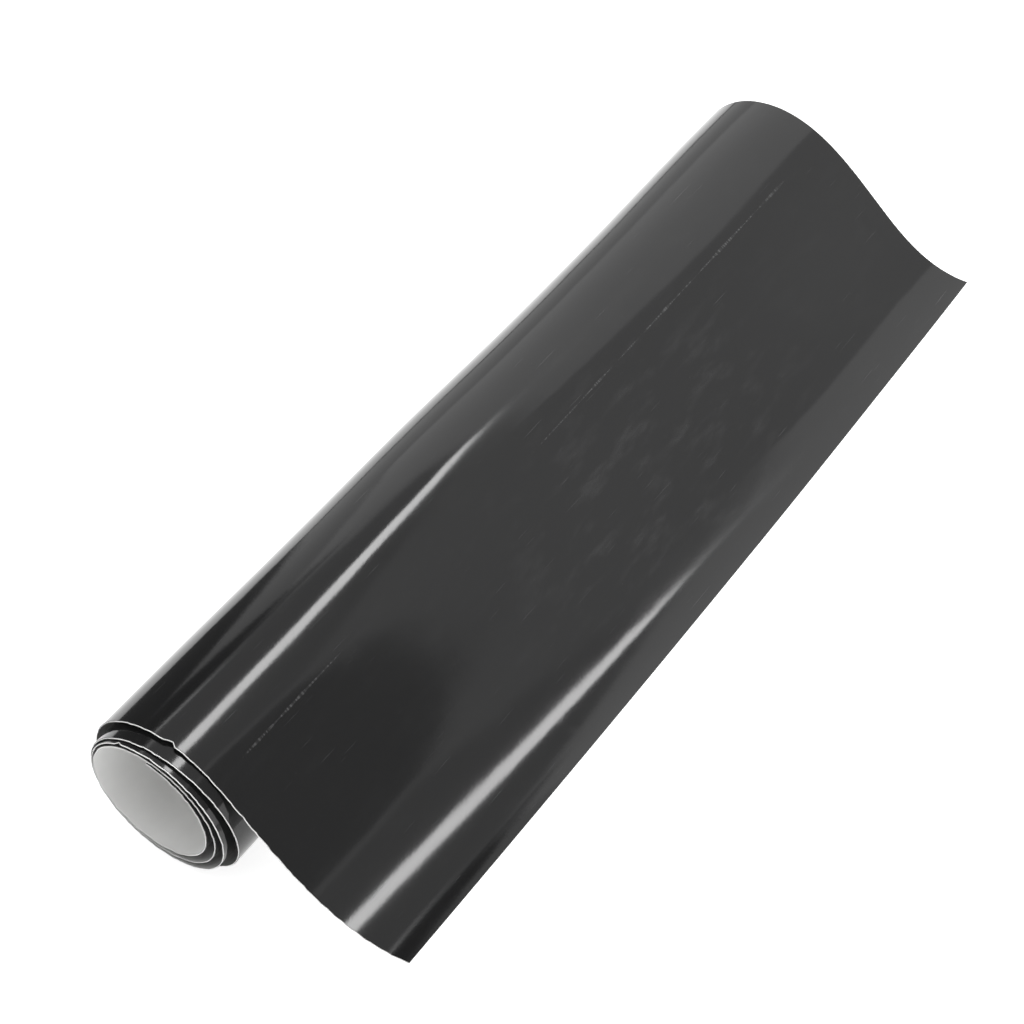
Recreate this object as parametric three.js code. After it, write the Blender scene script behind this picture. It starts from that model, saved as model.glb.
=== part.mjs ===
// A loose roll of self-adhesive sign vinyl, wound on itself without a core.
// The sheet is three bonded layers: a gloss black film outside, its clear adhesive coat, and the paper
// release liner inside. Its outer end leaves the top of the coil as a flap that comes down to the table.
//
// Millimetres, +Z up. X runs from the coil to the free edge, Y along the coil, from the end whose inner
// turns stand proud to the other. The origin is the middle of the footprint, on the table.
//
// The whole sheet follows one line, the film's outer face seen along the coil: a coil, a shoulder, a
// slope, a valley, a flat stretch on the table and a lip. Each layer is a flat strip laid along that line
// at its own depth. Where the sheet bends or slips, the layers are parted into sections that can move.
import * as THREE from "three";

const DEGREE = Math.PI / 180;
const FULL_TURN = 2 * Math.PI;

// The sheet
const SHEET_WIDTH = 305;
const FILM_THICKNESS = 0.1;
const ADHESIVE_THICKNESS = 0.03;
const LINER_THICKNESS = 0.17;
const LAYER_CLEARANCE = 0.01;
const SECTION_CLEARANCE = 0.3;
const STRIP_STEP = 3;

// The coil
const COIL_RADIUS = 25.2;
const WOUND_TURNS = 3.97;
const LEAVING_HEADING = 95 * DEGREE;
const MEAN_PITCH = 1.7;
const PITCH_SWING = 0.96;
const LOOSEST_HEADING = -38 * DEGREE;

// How far the inner turns stand out of one end
const STAND_OUT = 4.9;
const STAND_OUT_START = 0.1;
const STAND_OUT_TURNS = 1.3;
const STAND_OUT_PER_TURN = 0.25;

// The flap
const SHOULDER_RADIUS = 30;
const SLOPE_ANGLE = 55 * DEGREE;
const VALLEY_RADIUS = 31;
const REST_LENGTH = 6;
const LIP_RADIUS = 30;
const LIP_ANGLE = 5 * DEGREE;

// Where the sheet is parted: turns wound in from the shoulder, or lengths of sheet
const OUTER_TURN_END = 1.486;
const SECOND_TURN_END = 2.486;
const INNER_END_SPAN = 0.264;
const FLAP_HINGE_RUN = 15;
const FLAP_UPPER_LENGTH = 32;
const PEEL_STRIP = 24;

// A point of the coil by the turns wound in from where the sheet leaves it. Turns lie close together
// on one side and loosely on the other, so the pitch depends on the heading.
function coilPoint(turns, target = new THREE.Vector2()) {
  const heading = LEAVING_HEADING + turns * FULL_TURN;
  const pitch = MEAN_PITCH + PITCH_SWING * Math.cos(heading - LOOSEST_HEADING);
  const radius = COIL_RADIUS - turns * pitch;
  return target.set(radius * Math.cos(heading), radius * Math.sin(heading));
}

// The wound part of the line, from the inner edge to the shoulder.
class Coil extends THREE.Curve {
  constructor() {
    super();
    this.arcLengthDivisions = 4000;
  }

  getPoint(t, target) {
    return coilPoint((1 - t) * WOUND_TURNS, target);
  }
}

// An arc that starts at a point in one direction and turns to another. It turns left if end > start.
function arcFrom(point, start, end, radius) {
  const left = end > start ? 1 : -1;
  const centreX = point.x - left * radius * Math.sin(start);
  const centreY = point.y + left * radius * Math.cos(start);
  const quarter = (left * Math.PI) / 2;
  return new THREE.ArcCurve(centreX, centreY, radius, start - quarter, end - quarter, left < 0);
}

function endOf(curve) {
  return curve.getPoint(1);
}

// The whole line, with the slope as long as it takes to bring the flap down to the table.
function sheetLine() {
  const coil = new Coil();
  const tangent = coil.getTangent(1);
  const leaving = Math.atan2(tangent.y, tangent.x);
  const bottom = Math.min(...coil.getPoints(8000).map((point) => point.y));
  const shoulder = arcFrom(endOf(coil), leaving, -SLOPE_ANGLE, SHOULDER_RADIUS);
  const drop = endOf(shoulder).y - bottom - SHEET_THICKNESS;
  const valleyDrop = VALLEY_RADIUS * (1 - Math.cos(SLOPE_ANGLE));
  const run = (drop - valleyDrop) / Math.sin(SLOPE_ANGLE);
  const down = new THREE.Vector2(Math.cos(SLOPE_ANGLE), -Math.sin(SLOPE_ANGLE));
  const slope = new THREE.LineCurve(endOf(shoulder), endOf(shoulder).addScaledVector(down, run));
  const valley = arcFrom(endOf(slope), -SLOPE_ANGLE, 0, VALLEY_RADIUS);
  const along = new THREE.Vector2(REST_LENGTH, 0);
  const rest = new THREE.LineCurve(endOf(valley), endOf(valley).add(along));
  const lip = arcFrom(endOf(rest), 0, LIP_ANGLE, LIP_RADIUS);
  const line = new THREE.CurvePath();
  line.curves = [coil, shoulder, slope, valley, rest, lip];
  return line;
}

const LAYERS = {
  film: {
    top: 0,
    thickness: FILM_THICKNESS,
    material: () => new THREE.MeshStandardMaterial({ color: 0x121214, roughness: 0.25 }),
  },
  adhesive: {
    top: FILM_THICKNESS + LAYER_CLEARANCE,
    thickness: ADHESIVE_THICKNESS,
    material: () => new THREE.MeshStandardMaterial({ color: 0x9a9c9e, roughness: 0.35 }),
  },
  liner: {
    top: FILM_THICKNESS + ADHESIVE_THICKNESS + 2 * LAYER_CLEARANCE,
    thickness: LINER_THICKNESS,
    material: () => new THREE.MeshStandardMaterial({ color: 0xdedddb, roughness: 0.6 }),
  },
};
const SHEET_THICKNESS = LAYERS.liner.top + LINER_THICKNESS;

const line = sheetLine();
const coil = line.curves[0];
const coilLength = coil.getLength();
const sheetLength = line.getLength();

// The length of sheet between the inner edge and a place in the coil.
function lengthToTurn(turns) {
  const steps = coil.arcLengthDivisions;
  return coil.getLengths()[Math.round((1 - turns / WOUND_TURNS) * steps)];
}

// How far the sheet stands out of the near end, at a length from the inner edge.
function standOut(length) {
  const share = THREE.MathUtils.clamp(length / coilLength, 0, 1);
  const turns = (1 - coil.getUtoTmapping(share)) * WOUND_TURNS;
  const step = THREE.MathUtils.smoothstep(turns, STAND_OUT_START, STAND_OUT_START + STAND_OUT_TURNS);
  return STAND_OUT * step + STAND_OUT_PER_TURN * turns;
}

// Where a point of the flat sheet lies once the sheet is wound.
function wind(length, depth, across) {
  const share = THREE.MathUtils.clamp(length / sheetLength, 0, 1);
  const point = line.getPoint(share);
  const tangent = line.getTangent(share);
  const x = point.x + depth * tangent.y;
  const z = point.y - depth * tangent.x;
  return new THREE.Vector3(x, across - standOut(length), z);
}

// The bays of the sheet, from the inner edge to the free edge. Neighbours stand apart by a clearance,
// and every layer has its steps at the same places, so the layers stay parallel round each bend.
const thirdTurnStart = lengthToTurn(WOUND_TURNS - INNER_END_SPAN);
const secondTurnStart = lengthToTurn(SECOND_TURN_END);
const outerTurnStart = lengthToTurn(OUTER_TURN_END);
const flapStart = coilLength + FLAP_HINGE_RUN;
const footStart = flapStart + FLAP_UPPER_LENGTH;
const peelStart = sheetLength - PEEL_STRIP;
const BAYS = {
  inner_end: [0, thirdTurnStart],
  third_turn: [thirdTurnStart, secondTurnStart],
  second_turn: [secondTurnStart, outerTurnStart],
  outer_turn: [outerTurnStart, flapStart],
  flap_slope: [flapStart, footStart],
  flap_foot: [footStart, peelStart],
  peel_edge: [peelStart, sheetLength],
};

function stepsOf(bay) {
  const [low, high] = BAYS[bay];
  const start = low === 0 ? 0 : low + SECTION_CLEARANCE / 2;
  const end = high === sheetLength ? sheetLength : high - SECTION_CLEARANCE / 2;
  const count = Math.ceil((end - start) / STRIP_STEP);
  return Array.from({ length: count + 1 }, (_, k) => start + ((end - start) * k) / count);
}

// One layer of one piece: a flat strip over its bays, wound to shape.
function strip(layer, name, bays) {
  const { top, thickness, material } = LAYERS[layer];
  const steps = bays.flatMap(stepsOf);
  const count = steps.length - 1;
  const geometry = new THREE.BoxGeometry(count, thickness, SHEET_WIDTH, count, 1, 1);
  geometry.translate(count / 2, -top - thickness / 2, -SHEET_WIDTH / 2);
  const place = geometry.getAttribute("position");
  for (let i = 0; i < place.count; i += 1) {
    const length = steps[Math.round(place.getX(i))];
    const wound = wind(length, -place.getY(i), -place.getZ(i));
    place.setXYZ(i, wound.x, wound.y, wound.z);
  }
  geometry.computeVertexNormals();
  const mesh = new THREE.Mesh(geometry, material());
  mesh.name = `${layer}_${name}`;
  return mesh;
}

// The liner runs on under the edge that peels, and the film and its adhesive are parted there.
const BACKED = ["inner_end", "third_turn", "second_turn", "outer_turn", "flap_slope"];
const roll = new THREE.Group();
for (const name of BACKED) {
  for (const layer of Object.keys(LAYERS)) roll.add(strip(layer, name, [name]));
}
for (const name of ["flap_foot", "peel_edge"]) {
  for (const layer of ["film", "adhesive"]) roll.add(strip(layer, name, [name]));
}
roll.add(strip("liner", "flap_foot", ["flap_foot", "peel_edge"]));

// The origin goes to the middle of the footprint, on the table.
const box = new THREE.Box3().setFromObject(roll);
const middle = box.getCenter(new THREE.Vector3());
roll.position.set(-middle.x, -middle.y, -box.min.z);

const part = new THREE.Group();
part.add(roll);

export default part;
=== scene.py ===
# %% [markdown]
# # A loose roll of gloss sign vinyl
# The real thing is one long sheet in three bonded layers: a gloss black film, a clear adhesive coat and a
# white paper liner. It is wound on itself without a core, its inner turns stand a little out of one end,
# and its outer end comes down to the table as a flap. A sheet like that is easiest to model flat, as it was
# cut, and then to wind. So every piece here starts as a flat grid whose points know how far along and how
# far across the sheet they are, and one function carries them to their wound places.

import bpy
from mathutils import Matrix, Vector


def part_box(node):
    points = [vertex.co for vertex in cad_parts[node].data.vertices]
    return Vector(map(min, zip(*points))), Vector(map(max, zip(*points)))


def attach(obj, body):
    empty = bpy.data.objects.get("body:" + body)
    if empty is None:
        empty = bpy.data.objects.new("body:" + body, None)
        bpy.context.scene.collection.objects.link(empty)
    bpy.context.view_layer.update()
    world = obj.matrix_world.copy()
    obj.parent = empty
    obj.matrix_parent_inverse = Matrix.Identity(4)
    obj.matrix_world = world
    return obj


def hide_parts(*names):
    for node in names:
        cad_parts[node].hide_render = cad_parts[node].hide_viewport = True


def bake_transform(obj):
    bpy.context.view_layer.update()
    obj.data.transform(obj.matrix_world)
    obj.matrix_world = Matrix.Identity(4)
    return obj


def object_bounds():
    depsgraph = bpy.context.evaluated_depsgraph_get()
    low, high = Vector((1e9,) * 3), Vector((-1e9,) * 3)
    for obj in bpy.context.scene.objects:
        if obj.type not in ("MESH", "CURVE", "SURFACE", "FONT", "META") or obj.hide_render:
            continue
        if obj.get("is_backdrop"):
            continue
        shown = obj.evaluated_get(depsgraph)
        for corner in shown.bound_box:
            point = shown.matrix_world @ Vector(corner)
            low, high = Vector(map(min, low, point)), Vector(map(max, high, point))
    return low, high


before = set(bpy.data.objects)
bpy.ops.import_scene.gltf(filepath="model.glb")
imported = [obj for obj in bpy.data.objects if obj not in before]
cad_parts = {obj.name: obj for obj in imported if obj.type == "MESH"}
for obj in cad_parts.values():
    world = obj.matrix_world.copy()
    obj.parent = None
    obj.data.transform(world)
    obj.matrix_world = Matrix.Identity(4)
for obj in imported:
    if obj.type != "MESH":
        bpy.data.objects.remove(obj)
cad_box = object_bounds()

# %% [markdown]
# ## The sheet and the coil
# All lengths are in metres. The sheet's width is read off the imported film's free edge, which lies straight
# along the roll. The coil is a spiral whose turns lie close together on one side and loosely on the other,
# as they do when a roll is let go on a table and springs open.

# %% Sizes of the sheet and the coil
import math

import bmesh
import bpy
import numpy as np
from mathutils import Matrix, Vector

MM = 0.001
FULL_TURN = 2 * math.pi

FILM_THICKNESS = 0.1 * MM
ADHESIVE_THICKNESS = 0.03 * MM
LINER_THICKNESS = 0.17 * MM
LAYER_CLEARANCE = 0.01 * MM

COIL_RADIUS = 25.2 * MM
WOUND_TURNS = 3.97
LEAVING_HEADING = math.radians(95)
MEAN_PITCH = 1.7 * MM
PITCH_SWING = 0.96 * MM
LOOSEST_HEADING = math.radians(-38)

peel_low, peel_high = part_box("film_peel_edge")
SHEET_WIDTH = peel_high.y - peel_low.y
NEAR_EDGE = peel_low.y
print(f"sheet {SHEET_WIDTH * 1000:.1f} mm wide, near edge at y {NEAR_EDGE * 1000:.1f} mm")

# %% [markdown]
# ## The spiral as a table
# A spiral whose pitch changes round the turn has no neat formula for its length. It is stepped finely
# instead, and every later question about it is answered by looking between two steps.

# %% The coil as a finely stepped spiral
def smooth(value, low, high):
    """Ease from 0 at the low value to 1 at the high one."""
    t = np.clip((value - low) / (high - low), 0, 1)
    return t * t * (3 - 2 * t)


def band(value, rise, fall):
    """1 in the middle: ease in over the first pair of values and out over the second."""
    return smooth(value, *rise) * (1 - smooth(value, *fall))


def coil_point(turns):
    heading = LEAVING_HEADING + turns * FULL_TURN
    pitch = MEAN_PITCH + PITCH_SWING * np.cos(heading - LOOSEST_HEADING)
    radius = COIL_RADIUS - turns * pitch
    return radius * np.cos(heading), radius * np.sin(heading)


COIL_STEPS = 8000
coil_turns = np.linspace(WOUND_TURNS, 0, COIL_STEPS + 1)
coil_x, coil_z = coil_point(coil_turns)
coil_run = np.concatenate([[0], np.cumsum(np.hypot(np.diff(coil_x), np.diff(coil_z)))])
coil_heading = np.unwrap(np.arctan2(np.gradient(coil_z), np.gradient(coil_x)))
coil_heading -= FULL_TURN * round(coil_heading[-1] / FULL_TURN)
COIL_LENGTH = coil_run[-1]

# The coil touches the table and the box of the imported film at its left.
film_low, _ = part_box("film_outer_turn")
CENTRE_X = film_low.x - coil_x.min()
CENTRE_Z = -coil_z.min()
print(f"coil {COIL_LENGTH * 1000:.1f} mm of sheet")
print(f"centre at x {CENTRE_X * 1000:.2f}, z {CENTRE_Z * 1000:.2f} mm")

# %% [markdown]
# ## The flap
# The film leaves the top of the coil, bends over a shoulder, runs down a slope and flattens out on the
# table. It was rolled unevenly, so the near end drops steeply and lifts its corner, while the far end
# comes over in a wider curve and lies flat. The direction of the sheet is written as a smooth function of
# the length from the coil, so its curvature never jumps: a gloss surface would show every jump as a kink
# in its highlight. The steepness is then solved, row by row, so that the underside just meets the table.

# %% Shape of the flap at its near and far ends
FLAP_LENGTH = 98.1 * MM
NEAR_FLAP = {
    "shoulder": 34 * MM, "valley_start": 39.5 * MM, "valley_end": 96 * MM, "lip": math.radians(15),
}
FAR_FLAP = {
    "shoulder": 50 * MM, "valley_start": 55 * MM, "valley_end": 97 * MM, "lip": math.radians(2),
}
LATE_VALLEY = 2.5 * MM
LEAST_STEEP = math.radians(40)
MOST_STEEP = math.radians(75)
HALVINGS = 30
SHEET_LENGTH = COIL_LENGTH + FLAP_LENGTH
SHEET_THICKNESS = FILM_THICKNESS + ADHESIVE_THICKNESS + LINER_THICKNESS + 2 * LAYER_CLEARANCE
FLAP_STEP = 0.25 * MM
flap_run = np.arange(0, FLAP_LENGTH + FLAP_STEP, FLAP_STEP)


def late(reach):
    """How far across the sheet the valley runs on for longer before it flattens out."""
    return band(reach, (0.50, 0.74), (0.76, 0.98))


def flap_heading(reach, steepness):
    """Direction of the sheet along the flap, in a row for each reach: 0 is the near end, 1 the far end."""
    def between(name):
        return (NEAR_FLAP[name] + (FAR_FLAP[name] - NEAR_FLAP[name]) * reach)[:, None]

    start = coil_heading[-1]
    valley_start = between("valley_start")
    valley_end = between("valley_end") + LATE_VALLEY * late(reach)[:, None]
    over = np.clip(flap_run / between("shoulder"), 0, 1)
    out = np.clip((flap_run - valley_start) / (valley_end - valley_start), 0, 1)
    drop = (steepness[:, None] + start) * np.sin(over * math.pi / 2)
    rise = (steepness[:, None] + between("lip")) * (1 - np.cos(out * math.pi / 2))
    return start - drop + rise


def flap_places(heading):
    """x and z along the flap, by summing short steps in each direction."""
    middle = (heading[:, 1:] + heading[:, :-1]) / 2
    x = np.cumsum(np.cos(middle) * FLAP_STEP, axis=1)
    z = np.cumsum(np.sin(middle) * FLAP_STEP, axis=1)
    first = np.zeros((len(heading), 1))
    return np.hstack([first, x]) + coil_x[-1], np.hstack([first, z]) + coil_z[-1]


def solved_flap(reach):
    """The flap's directions and places, as steep as it takes to bring its underside to the table."""
    low, high = np.full(len(reach), LEAST_STEEP), np.full(len(reach), MOST_STEEP)
    for _ in range(HALVINGS):
        steepness = (low + high) / 2
        heading = flap_heading(reach, steepness)
        x, z = flap_places(heading)
        floating = z.min(axis=1) - SHEET_THICKNESS > coil_z.min()
        low, high = np.where(floating, steepness, low), np.where(floating, high, steepness)
    return heading, x, z, steepness


*_, found_steepness = solved_flap(np.array([0.0, 0.5, 1.0]))
print("steepness near, middle, far:", np.round(np.degrees(found_steepness), 1), "degrees")

# %% [markdown]
# ## How far each turn stands out
# When a roll springs open its inner turns creep along it, so they stand proud of one end like a telescope.
# Each turn is moved along the roll by a step that depends only on how deep inside the coil it lies.

# %% Stand the inner turns out of the near end
STAND_OUT = 4.9 * MM
STAND_OUT_START = 0.1
STAND_OUT_TURNS = 1.3
STAND_OUT_PER_TURN = 0.25 * MM


def stand_out(length):
    turns = np.interp(length, coil_run, coil_turns)
    step = smooth(turns, STAND_OUT_START, STAND_OUT_START + STAND_OUT_TURNS)
    return STAND_OUT * step + STAND_OUT_PER_TURN * turns


print(f"the inner edge stands out by {stand_out(0) * 1000:.1f} mm")

# %% [markdown]
# ## Where each turn begins
# The turns are counted from the lowest line of the coil, where the roll rests on the table.

# %% Lengths at the bottom of each turn
BOTTOM_TURN = 0.486


def length_at_turn(turns):
    return float(np.interp(-turns, -coil_turns, coil_run))


outer_seam, second_seam, third_seam, core_seam = (length_at_turn(BOTTOM_TURN + k) for k in range(4))
print("turns begin at", [round(s * 1000, 1) for s in (core_seam, third_seam, second_seam, outer_seam)])

# %% [markdown]
# ## Swells
# Real film is never a perfect cylinder. A handful of long shallow waves, each at its own slant, are added up
# over the whole sheet, because a mirror-like surface shows even a swell of a few hundredths of a millimetre.

# %% Long shallow swells
rng = np.random.default_rng(5)
SWELL_COUNT = 9
SWELL_HEIGHT = 0.035 * MM
SHORTEST_ALONG = 60 * MM
SHORTEST_ACROSS = 85 * MM
SWELLS = [
    (
        rng.uniform(-1, 1) * FULL_TURN / SHORTEST_ALONG,
        rng.uniform(0.3, 1) * FULL_TURN / SHORTEST_ACROSS,
        rng.uniform(0, FULL_TURN),
    )
    for _ in range(SWELL_COUNT)
]


def swells(length, across):
    return sum(SWELL_HEIGHT * np.sin(a * length + b * across + c) for a, b, c in SWELLS)


# %% [markdown]
# ## A loose outer turn
# Nothing holds the last turn down, so it stands off the coil a little: it flares at the near end, draws in
# at its waist and rises again in a crown at the far end.

# %% How far the outer turn stands off the coil
LOOSENESS = 0.6 * MM
NEAR_FLARE = 0.9 * MM
WAIST = -1.1 * MM
FAR_CROWN = 0.4 * MM
# Lengths of sheet between which each of them grows or fades
TURN_RISES = (outer_seam + 5 * MM, outer_seam + 35 * MM)
TURN_FADES = (COIL_LENGTH + 5 * MM, COIL_LENGTH + 40 * MM)
FLARE_FADES = (outer_seam + 45 * MM, COIL_LENGTH + 8 * MM)
CROWN_RISES = (COIL_LENGTH - 22 * MM, COIL_LENGTH + 2 * MM)
CROWN_FADES = (COIL_LENGTH + 5 * MM, COIL_LENGTH + 32 * MM)
# Distances across the sheet between which they do so
WAIST_IN = (110 * MM, 200 * MM)
WAIST_OUT = (210 * MM, 300 * MM)
NEAR_END_FADES = (0, 120 * MM)
FAR_END_RISES = (230 * MM, 305 * MM)


def bulges(length, across):
    ring = band(length, TURN_RISES, TURN_FADES)
    flare = band(length, TURN_RISES, FLARE_FADES)
    crown = band(length, CROWN_RISES, CROWN_FADES)
    return (
        ring * (LOOSENESS + WAIST * band(across, WAIST_IN, WAIST_OUT))
        + flare * NEAR_FLARE * (1 - smooth(across, *NEAR_END_FADES))
        + crown * FAR_CROWN * smooth(across, *FAR_END_RISES)
    )


# %% [markdown]
# ## Cut edges, dents and nicks
# The free edge was cut by hand, in a shallow bow that is a little out of square. Handling left a few shallow
# dents in the flap, and the knife left nicks in the near edge. They are small, but without them the sheet
# looks like a drawing of a sheet.

# %% The cut edges and the dents
TRIM_START = COIL_LENGTH + 62 * MM
# How much is cut off the free edge, in mm: at the near end, then for its slant, its bow and the late valley.
TRIM_NEAR, TRIM_SLANT, TRIM_BOW, TRIM_LATE = 3.9, -4.85, 5.35, 0.6
# Dents: length and distance across, radius and depth. At its radius a dent is about a quarter as deep.
DENTS = [
    (607.7 * MM, 207 * MM, 3.0 * MM, 0.08 * MM),
    (606.4 * MM, 184 * MM, 3.4 * MM, 0.08 * MM),
    (628.5 * MM, 85 * MM, 1.7 * MM, 0.05 * MM),
    (597.5 * MM, 294 * MM, 2.4 * MM, 0.12 * MM),
]
DENT_NARROWING = 1.6
# Nicks in the near edge: length along the sheet, half width and depth.
NICKS = [
    (551.5 * MM, 1.6 * MM, 1.1 * MM),
    (243.0 * MM, 1.3 * MM, 0.8 * MM),
    (98.0 * MM, 1.5 * MM, 0.9 * MM),
]
RAGGED_DEPTH = 0.05 * MM
RAGGED_WAVES = 9
RAGGED = [
    (FULL_TURN / (rng.uniform(2.6, 9) * MM), rng.uniform(0, FULL_TURN)) for _ in range(RAGGED_WAVES)
]
NEAR_CUT_REACH = 7 * MM


def trimmed(length, across):
    reach = across / SHEET_WIDTH
    trim = (TRIM_NEAR + TRIM_SLANT * reach + TRIM_BOW * reach ** 2 + TRIM_LATE * late(reach)) * MM
    share = np.clip((length - TRIM_START) / (SHEET_LENGTH - TRIM_START), 0, 1)
    return length - trim * share


def dents(length, across):
    away = 0
    for at, over, radius, deep in DENTS:
        spread = 2 * (radius / DENT_NARROWING) ** 2
        away = away - deep * np.exp(-((length - at) ** 2 + (across - over) ** 2) / spread)
    return away


def ragged(length, across):
    """How far the near edge is set back. It fades out within a few millimetres."""
    back = sum(RAGGED_DEPTH * np.sin(k * length + phase) for k, phase in RAGGED) / 2
    for at, half, deep in NICKS:
        back = back + deep * np.clip(1 - np.abs(length - at) / half, 0, 1)
    return back * (1 - smooth(across, 0, NEAR_CUT_REACH))


# %% [markdown]
# ## From flat to wound
# Winding is one function. A point at a length and a distance across goes to its place on the line, down
# by its depth under the film's outer face, and out of the near end by as much as its turn stands out.
# The swells and bulges fade out where the sheet lies on the table.

# %% Wind flat points
CALM_HEIGHT = 12 * MM


def wind(length, across, depth):
    """Places of flat points once the sheet is wound, as an array of rows x, y, z."""
    length = trimmed(length, across)
    rows, row = np.unique(np.round(across, 7), return_inverse=True)
    heading_rows, x_rows, z_rows, _ = solved_flap(rows / SHEET_WIDTH)
    x = np.interp(length, coil_run, coil_x)
    z = np.interp(length, coil_run, coil_z)
    heading = np.interp(length, coil_run, coil_heading)
    # Points beyond the coil take their place from their own row of the flap, between two of its steps.
    on_flap = length > COIL_LENGTH
    step = np.clip((length - COIL_LENGTH) / FLAP_STEP, 0, len(flap_run) - 1.001)
    whole = step.astype(int)
    part = step - whole
    for table, target in ((x_rows, x), (z_rows, z), (heading_rows, heading)):
        found = table[row, whole] * (1 - part) + table[row, whole + 1] * part
        target[on_flap] = found[on_flap]
    above_table = smooth(z - coil_z.min(), 0, CALM_HEIGHT)
    out = (swells(length, across) + bulges(length, across)) * above_table + dents(length, across) - depth
    return np.column_stack([
        x - out * np.sin(heading) + CENTRE_X,
        NEAR_EDGE + across - stand_out(length) + ragged(length, across),
        z + out * np.cos(heading) + CENTRE_Z,
    ])


edge_middle = wind(np.array([SHEET_LENGTH]), np.array([SHEET_WIDTH / 2]), 0)[0]
print("middle of the free edge, in mm:", np.round(edge_middle / MM, 1))

# %% [markdown]
# ## One strip of one layer
# A strip is a grid laid flat over its stretch of the sheet. The grid's own places become its UV map, in
# metres of sheet, so a scratch or a fibre keeps its size round every bend. Then the points are wound, and
# solidify gives the layer its real thickness. Edges sharper than a bend are marked sharp, so the thin cut
# edge doesn't smear its shading over the broad gloss face.

# %% Build a strip
ALONG_STEP = 1.25 * MM
SLIDE_GAP = 0.1 * MM
LAYERS = {
    "film": (0, FILM_THICKNESS),
    "adhesive": (FILM_THICKNESS + LAYER_CLEARANCE, ADHESIVE_THICKNESS),
    "liner": (FILM_THICKNESS + ADHESIVE_THICKNESS + 2 * LAYER_CLEARANCE, LINER_THICKNESS),
}
SHARP = math.radians(40)
SHRINKAGE = 0.25 * MM


def strip(layer, name, start, end, across_step):
    depth, thickness = LAYERS[layer]
    bm = bmesh.new()
    bmesh.ops.create_grid(
        bm, size=0.5, x_segments=max(2, round((end - start) / ALONG_STEP)),
        y_segments=round(SHEET_WIDTH / across_step),
    )
    width = SHEET_WIDTH if layer == "liner" else SHEET_WIDTH - 2 * SHRINKAGE
    bmesh.ops.scale(bm, vec=(end - start, width, 1), verts=bm.verts)
    bmesh.ops.translate(bm, vec=((start + end) / 2, SHEET_WIDTH / 2, 0), verts=bm.verts)
    flat = np.array([v.co for v in bm.verts])
    uv = bm.loops.layers.uv.new("Sheet")
    for face in bm.faces:
        for loop in face.loops:
            loop[uv].uv = loop.vert.co.xy
    for vert, place in zip(bm.verts, wind(flat[:, 0], flat[:, 1], depth)):
        vert.co = place
    bm.normal_update()
    bmesh.ops.solidify(bm, geom=bm.faces[:], thickness=thickness)
    for face in bm.faces:
        face.smooth = True
    for edge in bm.edges:
        edge.smooth = edge.calc_face_angle(0) < SHARP
    mesh = bpy.data.meshes.new(f"{layer}_{name}")
    bm.to_mesh(mesh)
    print(f"{mesh.name}: {len(mesh.polygons)} faces, volume {bm.calc_volume(signed=True) * 1e9:.0f} mm3")
    bm.free()
    piece = bpy.data.objects.new(mesh.name, mesh)
    bpy.context.scene.collection.objects.link(piece)
    return piece


# %% [markdown]
# ## Where the strips part
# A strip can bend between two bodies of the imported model, so the sheet is parted where it crosses from one
# joint to the next. In the coil the partings lie on the table, under the roll, and the strips that slide
# past each other stand a hair apart. On the slope the partings lie where the sheet is straight and follows
# one body only, so they never open.

# %% Lengths at which the strips part
slope_seam = COIL_LENGTH + 34 * MM
foot_seam = COIL_LENGTH + 58 * MM
BAYS = {
    "core": (0, core_seam),
    "third": (core_seam, third_seam - SLIDE_GAP),
    "second": (third_seam, second_seam - SLIDE_GAP),
    "coil": (second_seam, outer_seam),
    "wrap": (outer_seam, slope_seam),
    "slope": (slope_seam, foot_seam),
    "foot": (foot_seam, SHEET_LENGTH),
}
LINER_BAYS = {**BAYS, "slope": (slope_seam, SHEET_LENGTH)}
del LINER_BAYS["foot"]
for name, (start, end) in BAYS.items():
    print(f"bay {name}: {(end - start) / MM:.1f} mm of sheet")

# %% [markdown]
# ## Twenty strips
# The bays follow each other along the sheet, and each layer has its own strip in each of them. The outer
# strips get a fine grid, because dents and nicks show there; the wound ones inside can be coarser. The
# liner is left whole under the edge that peels.

# %% Make every strip
FINE_ACROSS = 1.25 * MM
COARSE_ACROSS = 5 * MM
pieces = {}
for layer in LAYERS:
    for name, (start, end) in (LINER_BAYS if layer == "liner" else BAYS).items():
        across = FINE_ACROSS if name in ("wrap", "slope", "foot") else COARSE_ACROSS
        pieces[layer, name] = strip(layer, name, start, end, across)

# %% [markdown]
# ## What moves with what
# The coil's turns ride on their own bodies, because they slide out of the roll one by one. The core, the
# wrap, the slope and the foot are fixed where they were wound. Film and adhesive have a foot strip of
# their own, and the liner's slope runs on under it to the free edge.

# %% Rides and the CAD layers that the strips stand for
RIDES = {"coil": "outer_turn", "second": "second_turn", "third": "third_turn"}


for (layer, name), piece in pieces.items():
    if name in RIDES:
        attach(piece, RIDES[name])
        print(piece.name, "rides", RIDES[name])

for layer in LAYERS:
    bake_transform(pieces[layer, "core"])
    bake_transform(pieces[layer, "wrap"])
    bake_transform(pieces[layer, "slope"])
for layer in ("film", "adhesive"):
    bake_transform(pieces[layer, "foot"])

STANDS_FOR = {"core": "inner_end", "third": "third_turn", "second": "second_turn",
              "wrap": "outer_turn", "slope": "flap_slope", "foot": "flap_foot"}
for (layer, name), piece in pieces.items():
    if name in STANDS_FOR:
        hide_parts(f"{layer}_{STANDS_FOR[name]}")
for layer in ("film", "adhesive"):
    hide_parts(f"{layer}_peel_edge")
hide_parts("liner_flap_foot")

# %% [markdown]
# ## Gloss black film
# Calendered vinyl is almost a mirror, but not quite: its skin has a fine orange peel, faint scratches and
# a little dust. Materials are built from shader nodes, and a few short helpers add a node, join it up and
# hand back the socket that the next one needs.

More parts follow.
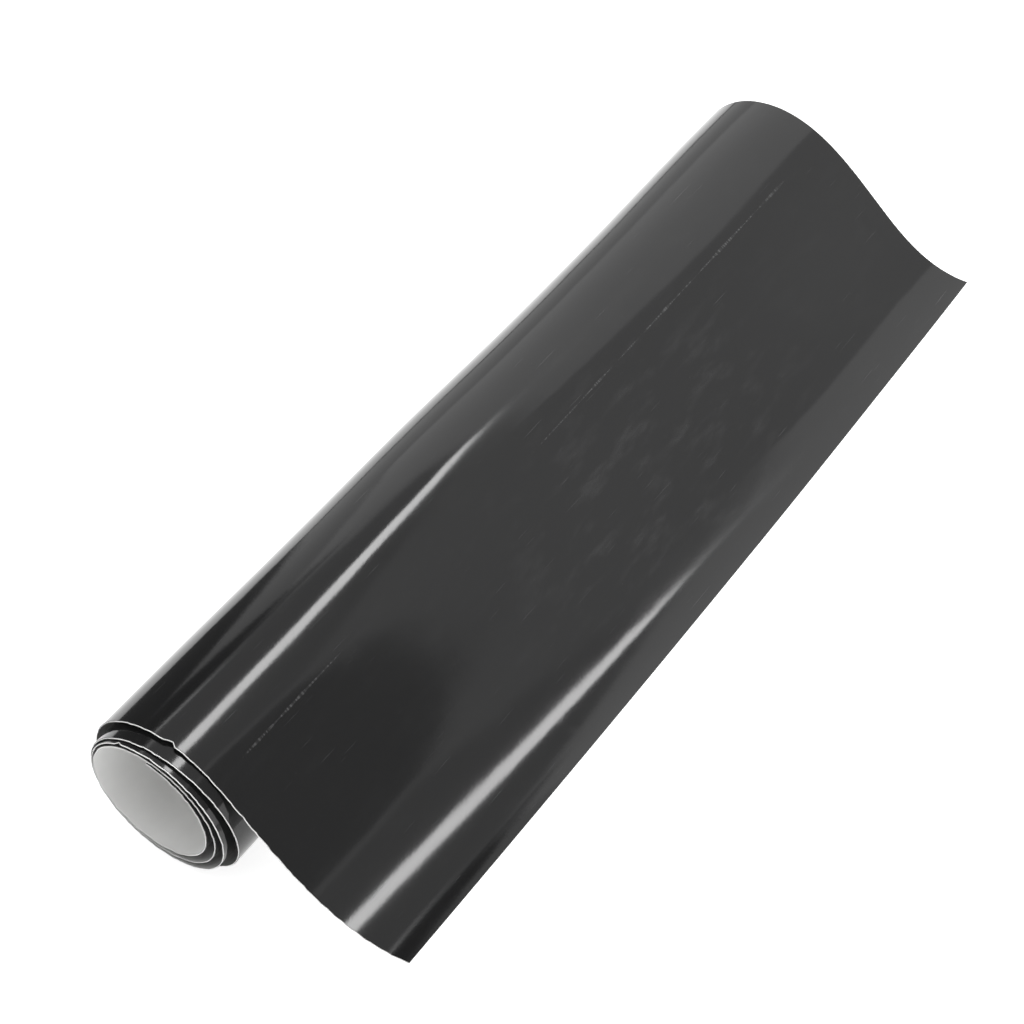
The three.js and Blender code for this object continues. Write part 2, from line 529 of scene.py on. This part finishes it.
# %% Helpers that add shader nodes and join them up
def add(tree, kind, inputs=None, **settings):
    node = tree.nodes.new("ShaderNode" + kind)
    for name, value in settings.items():
        setattr(node, name, value)
    for name, value in (inputs or {}).items():
        if isinstance(value, bpy.types.NodeSocket):
            tree.links.new(value, node.inputs[name])
        else:
            node.inputs[name].default_value = value
    return node


def finish_material(name, shade):
    """A material whose surface is what shade(tree) returns."""
    made = bpy.data.materials.new(name)
    made.use_nodes = True
    tree = made.node_tree
    tree.nodes.clear()
    add(tree, "OutputMaterial", {"Surface": shade(tree)})
    print("material", name, len(tree.nodes), "nodes")
    return made


def math_node(tree, operation, first, second=0.0, third=0.0):
    return add(tree, "Math", {0: first, 1: second, 2: third}, operation=operation).outputs[0]


def remap(tree, value, low, high, to_low=0.0, to_high=1.0):
    inputs = {"Value": value, "From Min": low, "From Max": high, "To Min": to_low, "To Max": to_high}
    return add(tree, "MapRange", inputs, interpolation_type="SMOOTHSTEP").outputs["Result"]


def sheet_noise(tree, along, across, detail=2.0, roughness=0.5):
    """Noise over the sheet whose grains are that long along it and that wide across it, in metres."""
    uv = add(tree, "UVMap", uv_map="Sheet").outputs["UV"]
    spread = add(tree, "Mapping", {"Vector": uv, "Scale": (1 / along, 1 / across, 1)}).outputs["Vector"]
    inputs = {"Vector": spread, "Scale": 1.0, "Detail": detail, "Roughness": roughness}
    return add(tree, "TexNoise", inputs).outputs["Fac"]


# %% [markdown]
# ## The marks on the film
# The roll was gripped along its shoulder, which left a fine broken line there. Like every mark on the film
# it is painted by the film's own length and width, so it bends and peels with the film.

# %% The broken line along the shoulder
CREASE_AT = 568.7 * MM
CREASE_SKEW = 1.5 * MM


def stretch(tree, value, rise, fall):
    """The shader's own band: 1 in the middle, easing in over one pair of values and out over the other."""
    return math_node(tree, "MULTIPLY", remap(tree, value, *rise), remap(tree, value, *fall, 1, 0))


def handling_line(tree, uv):
    """Fine dashes that skew a little at the near end and are worn away in the middle and at both ends."""
    place = add(tree, "SeparateXYZ", {"Vector": uv}).outputs
    middle = remap(tree, place["Y"], 40 * MM, 140 * MM, CREASE_AT - CREASE_SKEW, CREASE_AT)
    off_line = math_node(tree, "ABSOLUTE", math_node(tree, "SUBTRACT", place["X"], middle))
    wander = remap(tree, sheet_noise(tree, 1, 9 * MM), 0.3, 0.7, -0.25 * MM, 0.25 * MM)
    line = remap(tree, math_node(tree, "ADD", off_line, wander), 0.12 * MM, 0.30 * MM, 1, 0)
    dashes = remap(tree, sheet_noise(tree, 0.5, 0.8 * MM, detail=3), 0.46, 0.60, 0.08, 0.55)
    runs = remap(tree, sheet_noise(tree, 1, 30 * MM), 0.36, 0.5)
    whole = stretch(tree, place["Y"], (8 * MM, 16 * MM), (268 * MM, 284 * MM))
    worn = stretch(tree, place["Y"], (50 * MM, 64 * MM), (134 * MM, 148 * MM))
    runs = math_node(tree, "MULTIPLY", runs, math_node(tree, "SUBTRACT", whole, worn))
    dashed = math_node(tree, "MULTIPLY", line, dashes)
    return math_node(tree, "MULTIPLY", dashed, math_node(tree, "MAXIMUM", runs, 0))


# %% [markdown]
# ## Dust, scratches and painted glints
# A gloss surface collects hairline scratches that run along the roll, and specks of dust. Lighter,
# rougher patches lie only in an oval of the flap, over its shallow dents. Their grey is a painted
# reflection of the light that the dents catch, and their noise is faded out beyond that oval.

# %% Dust, scratches and painted glints
DENTED_MIDDLE = (0.597, 0.170)
DENTED_REACH = (0.042, 0.095)
SPECK_STRENGTH = 0.35


def specks(tree):
    hair = remap(tree, sheet_noise(tree, 0.35 * MM, 22 * MM, detail=2), 0.70, 0.78)
    dust = remap(tree, sheet_noise(tree, 0.8 * MM, 0.8 * MM, detail=1), 0.80, 0.86)
    return math_node(tree, "MULTIPLY", math_node(tree, "MAXIMUM", hair, dust), SPECK_STRENGTH)


# Patches over the dents: a painted reflection that lifts the black towards grey, and a little more
# roughness.
def painted_dent_glints(tree, uv):
    away = add(tree, "VectorMath", {0: uv, 1: (*DENTED_MIDDLE, 0)}, operation="SUBTRACT").outputs["Vector"]
    shrink = (1 / DENTED_REACH[0], 1 / DENTED_REACH[1], 0)
    away = add(tree, "VectorMath", {0: away, 1: shrink}, operation="MULTIPLY").outputs["Vector"]
    away = add(tree, "VectorMath", {0: away}, operation="LENGTH").outputs["Value"]
    dented = remap(tree, away, 0.3, 1.0, 1, 0.12)
    dent_glints = remap(tree, sheet_noise(tree, 5 * MM, 20 * MM, detail=4, roughness=0.6), 0.48, 0.75)
    return math_node(tree, "MULTIPLY", dent_glints, dented)


# %% [markdown]
# ## The film's surface
# Marks, and the painted glints over the dents, lift the black a little towards grey and make it rougher.
# Two bumps, one on the other, give the skin: a fine orange peel of a few thousandths of a millimetre, and
# longer waves under it.

# %% Film material
FILM_BLACK = (0.007, 0.007, 0.0072, 1)
# The grey of the marks, and of the painted reflections over the dents.
MARK_AND_GLINT_GREY = (0.11, 0.11, 0.112, 1)
ORANGE_PEEL_DEPTH = 6e-6
WAVE_DEPTH = 8e-5


def relief(tree, height, depth, under=None):
    """Bumps of a depth in metres, on top of others if there are any."""
    inputs = {"Height": height, "Strength": 1.0, "Distance": depth}
    if under is not None:
        inputs["Normal"] = under
    return add(tree, "Bump", inputs).outputs["Normal"]


def film_shade(tree):
    uv = add(tree, "UVMap", uv_map="Sheet").outputs["UV"]
    marks_and_glints = math_node(tree, "MAXIMUM", handling_line(tree, uv), specks(tree))
    dent_glints = painted_dent_glints(tree, uv)
    smudges = sheet_noise(tree, 35 * MM, 60 * MM, detail=4, roughness=0.6)
    smudges = remap(tree, smudges, 0.3, 0.7, 0.085, 0.125)
    rough = math_node(tree, "MULTIPLY_ADD", marks_and_glints, 0.35, smudges)
    rough = math_node(tree, "MULTIPLY_ADD", dent_glints, 0.06, rough)
    # The dent patches lift the black further towards grey, as a painted reflection.
    marks_and_glints = math_node(tree, "MULTIPLY_ADD", dent_glints, 0.14, marks_and_glints)
    # The sockets of a colour mix are picked by number: 0 is its factor, 6 and 7 are its two colours.
    tone = add(tree, "Mix", {0: marks_and_glints, 6: FILM_BLACK, 7: MARK_AND_GLINT_GREY}, data_type="RGBA").outputs[2]
    skin = relief(tree, sheet_noise(tree, 0.9 * MM, 0.9 * MM, detail=3, roughness=0.6), ORANGE_PEEL_DEPTH)
    skin = relief(tree, sheet_noise(tree, 14 * MM, 30 * MM, detail=2), WAVE_DEPTH, under=skin)
    return add(tree, "BsdfPrincipled", {
        "Base Color": tone, "Roughness": rough, "IOR": 1.5, "Normal": skin,
    }).outputs[0]


film = finish_material("gloss black film", film_shade)


# %% [markdown]
# ## Adhesive and liner
# The adhesive is clear with a slight haze, and takes its grey from the black film behind it. The liner is
# bleached paper with a silicone coat: nearly white, faintly cloudy, with a low sheen.

# %% Adhesive and liner materials
RIPPLE_DEPTH = 8e-6
FIBRE_DEPTH = 1.2e-5
CLOUD_TONES = ((0.3, (0.87, 0.87, 0.86, 1)), (0.7, (0.91, 0.91, 0.90, 1)))


def adhesive_shade(tree):
    coat = relief(tree, sheet_noise(tree, 1.5 * MM, 1.5 * MM, detail=2), RIPPLE_DEPTH)
    haze = remap(tree, sheet_noise(tree, 9 * MM, 9 * MM, detail=3), 0.3, 0.7, 0.12, 0.3)
    return add(tree, "BsdfPrincipled", {
        "Base Color": (0.62, 0.63, 0.64, 1), "Roughness": haze, "IOR": 1.47, "Transmission Weight": 0.85,
        "Normal": coat,
    }).outputs[0]


def liner_shade(tree):
    fibres = sheet_noise(tree, 0.5 * MM, 1.8 * MM, detail=4, roughness=0.65)
    clouds = sheet_noise(tree, 7 * MM, 11 * MM, detail=4, roughness=0.6)
    tone = add(tree, "ValToRGB", {"Fac": clouds})
    for stop, (position, color) in zip(tone.color_ramp.elements, CLOUD_TONES):
        stop.position, stop.color = position, color
    grain = relief(tree, fibres, FIBRE_DEPTH)
    sheen = remap(tree, fibres, 0.3, 0.7, 0.42, 0.55)
    return add(tree, "BsdfPrincipled", {
        "Base Color": tone.outputs["Color"], "Roughness": sheen, "IOR": 1.45, "Normal": grain,
    }).outputs[0]


FINISHES = {
    "film": film,
    "adhesive": finish_material("clear adhesive", adhesive_shade),
    "liner": finish_material("silicone-coated paper", liner_shade),
}
for (layer, _), piece in pieces.items():
    piece.data.materials.append(FINISHES[layer])

# %% [markdown]
# ## The table
# A plain pale sweep. It glows a little by itself, as a lit tabletop does, so the roll throws hardly any
# shadow.

# %% Floor
FLOOR_HALF_SIDE = 3
bm = bmesh.new()
bmesh.ops.create_grid(bm, x_segments=1, y_segments=1, size=FLOOR_HALF_SIDE)
floor_mesh = bpy.data.meshes.new("floor")
bm.to_mesh(floor_mesh)
bm.free()
floor = bpy.data.objects.new("floor", floor_mesh)
bpy.context.scene.collection.objects.link(floor)


def table_shade(tree):
    mottle = add(tree, "TexNoise", {"Scale": 3.0, "Detail": 3.0}).outputs["Fac"]
    return add(tree, "BsdfPrincipled", {
        "Base Color": (0.60, 0.60, 0.60, 1), "Roughness": remap(tree, mottle, 0.3, 0.7, 0.8, 0.9),
        "Specular IOR Level": 0.1, "Emission Color": (1, 1, 1, 1), "Emission Strength": 0.85,
    }).outputs[0]


floor_mesh.materials.append(finish_material("pale table", table_shade))
floor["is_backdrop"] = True
print("floor", [round(side, 1) for side in floor.dimensions], "m")

# %% [markdown]
# ## Studio light
# Gloss black shows almost nothing but what it mirrors, so the room is part of the look. A long narrow
# softbox hangs along the roll and draws the two bright streaks. Pale walls and a ceiling give the broad
# greys, and the gaps between them give the darks. A large lamp that the film doesn't mirror lights the
# paper and the table evenly.

# %% Light
world = bpy.data.worlds.new("studio")
world.use_nodes = True
background = world.node_tree.nodes["Background"].inputs
background["Color"].default_value = (1, 1, 1, 1)
background["Strength"].default_value = 0.12
bpy.context.scene.world = world


def softbox(name, middle, facing, along, size, brightness, shape="RECTANGLE", mirrored=True):
    """An area light, facing a way, with its length along a direction. Brightness is its radiance."""
    lamp = bpy.data.lights.new(name, "AREA")
    lamp.shape = shape
    lamp.size, lamp.size_y = size
    area = size[0] * size[1] * (math.pi / 4 if shape == "ELLIPSE" else 1)
    lamp.energy = brightness * math.pi * area
    holder = bpy.data.objects.new(name, lamp)
    out = -Vector(facing).normalized()
    side = (Vector(along) - out * out.dot(Vector(along))).normalized()
    turn = Matrix((side, out.cross(side), out)).transposed().to_4x4()
    holder.matrix_world = Matrix.Translation(middle) @ turn
    holder.visible_glossy = mirrored
    bpy.context.scene.collection.objects.link(holder)


softbox("key", (0.40, 0.45, 1.5), (0, 0, -1), (-0.648, 0.763, 0), (1.39, 0.25), 11.5, shape="ELLIPSE")
softbox("streak", (-0.90, 0.5, 1.5), (0, 0, -1), (-0.9, -0.4, 0), (0.5, 0.06), 2.5, shape="ELLIPSE")
softbox("back wall", (0.0, 1.6, 1.35), (0, -1, 0), (1, 0, 0), (6.2, 2.5), 0.8)
softbox("back softbox", (-0.75, 1.58, 1.7), (0, -1, 0), (0.95, 0, -0.3), (2.9, 1.7), 0.5)
softbox("right wall", (3.1, 0.0, 1.55), (-1, 0, 0), (0, 1, 0), (3.2, 2.9), 0.28)
softbox("ceiling", (0.8, 0.5, 2.6), (0, 0, -1), (1, 0, 0), (4.6, 2.2), 0.55)
softbox("fill", (0, 0, 2.8), (0, 0, -1), (1, 0, 0), (4, 4), 1.2, mirrored=False)

# %% [markdown]
# ## Camera
# A long lens looks down along the roll from beyond its near end, so that the wound turns show as well as
# the whole flap.

# %% Camera
camera = bpy.data.cameras.new("camera")
camera.lens = 77.34
camera.sensor_width = 36
camera.clip_start = 0.01
view = bpy.data.objects.new("camera", camera)
# The camera's own directions, each a unit vector at right angles to the other two
right = Vector((0.81218, 0.56736, -0.13591))
up = Vector((-0.31154, 0.61873, 0.72119))
back = Vector((0.49327, -0.54340, 0.67928))
view.matrix_world = Matrix((right, up, back)).transposed().to_4x4()
view.location = (0.3045, -0.3643, 0.4530)
bpy.context.scene.collection.objects.link(view)
bpy.context.scene.camera = view
bpy.context.scene.view_settings.view_transform = "Standard"
print(f"camera {view.location.length:.2f} m from the origin, {camera.lens:.0f} mm lens")

# %% [markdown]
# ## Last measurements
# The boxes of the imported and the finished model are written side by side, so they can be compared.

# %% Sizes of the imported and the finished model
finished_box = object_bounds()
for name, (low, high) in {"packed": cad_box, "finished": finished_box}.items():
    print(name, "sides in mm:", [round((b - a) * 1000, 1) for a, b in zip(low, high)])
